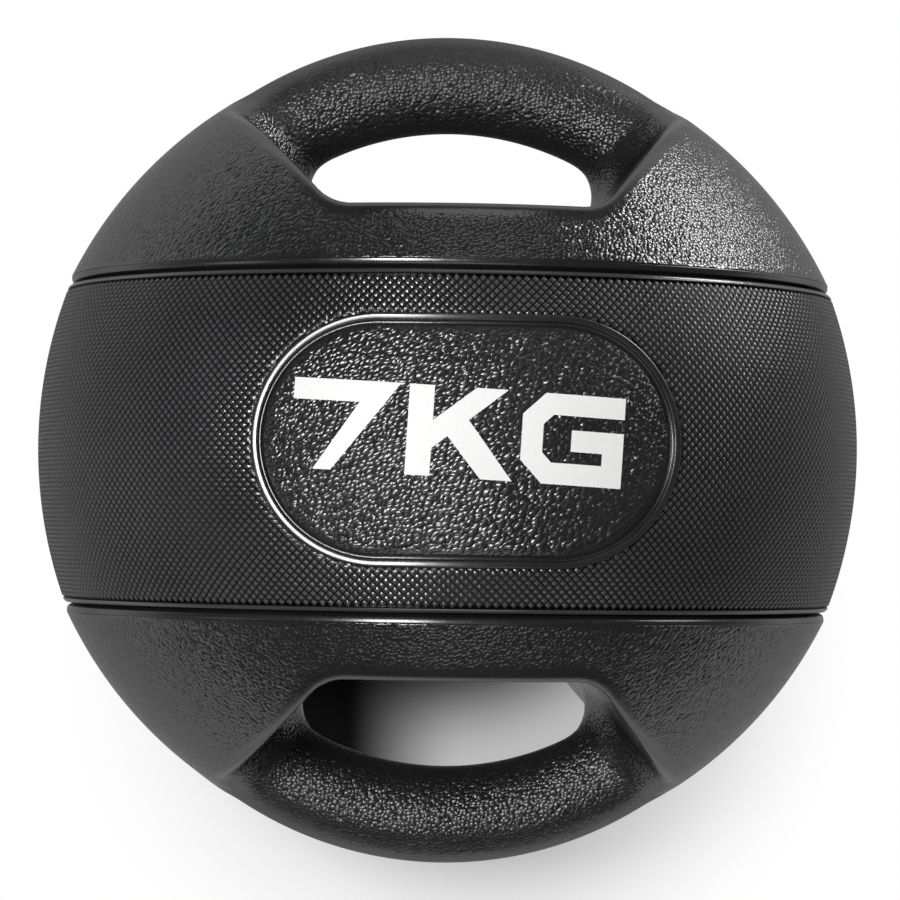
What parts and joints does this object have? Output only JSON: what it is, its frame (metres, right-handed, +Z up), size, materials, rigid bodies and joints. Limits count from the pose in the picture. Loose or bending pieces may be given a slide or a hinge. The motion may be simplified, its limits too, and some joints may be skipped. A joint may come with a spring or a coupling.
{
  "type": "medicine ball",
  "caption": "Round black rubber medicine ball with an arched grip moulded across a through hand slot at its top and bottom, a studded centre band and a recessed oval panel",
  "frame": {"origin": "centre of the ball", "axes": "+Z up through the middle of the upper grip, -Y out through the front panel, +X to the right as one faces the panel, along the grips"},
  "size_m": [0.28, 0.2786, 0.2834],
  "materials": {
    "grained_rubber": "satin",
    "studded_rubber": "satin",
    "smooth_rubber": "satin",
    "carcass_rubber": "matte",
    "textile": "matte",
    "butyl_rubber": "matte",
    "white_print": "matte"
  },
  "bodies": {
    "root": {"upper_cap": "grained_rubber", "lower_cap": "grained_rubber", "centre_band": "studded_rubber", "upper_seam_strip": "smooth_rubber", "lower_seam_strip": "smooth_rubber", "front_panel": "grained_rubber", "front_carcass": "carcass_rubber", "rear_carcass": "carcass_rubber", "textile_ply": "textile", "bladder": "butyl_rubber", "valve_body": "smooth_rubber", "valve_plug": "butyl_rubber"}
  },
  "joints": []
}
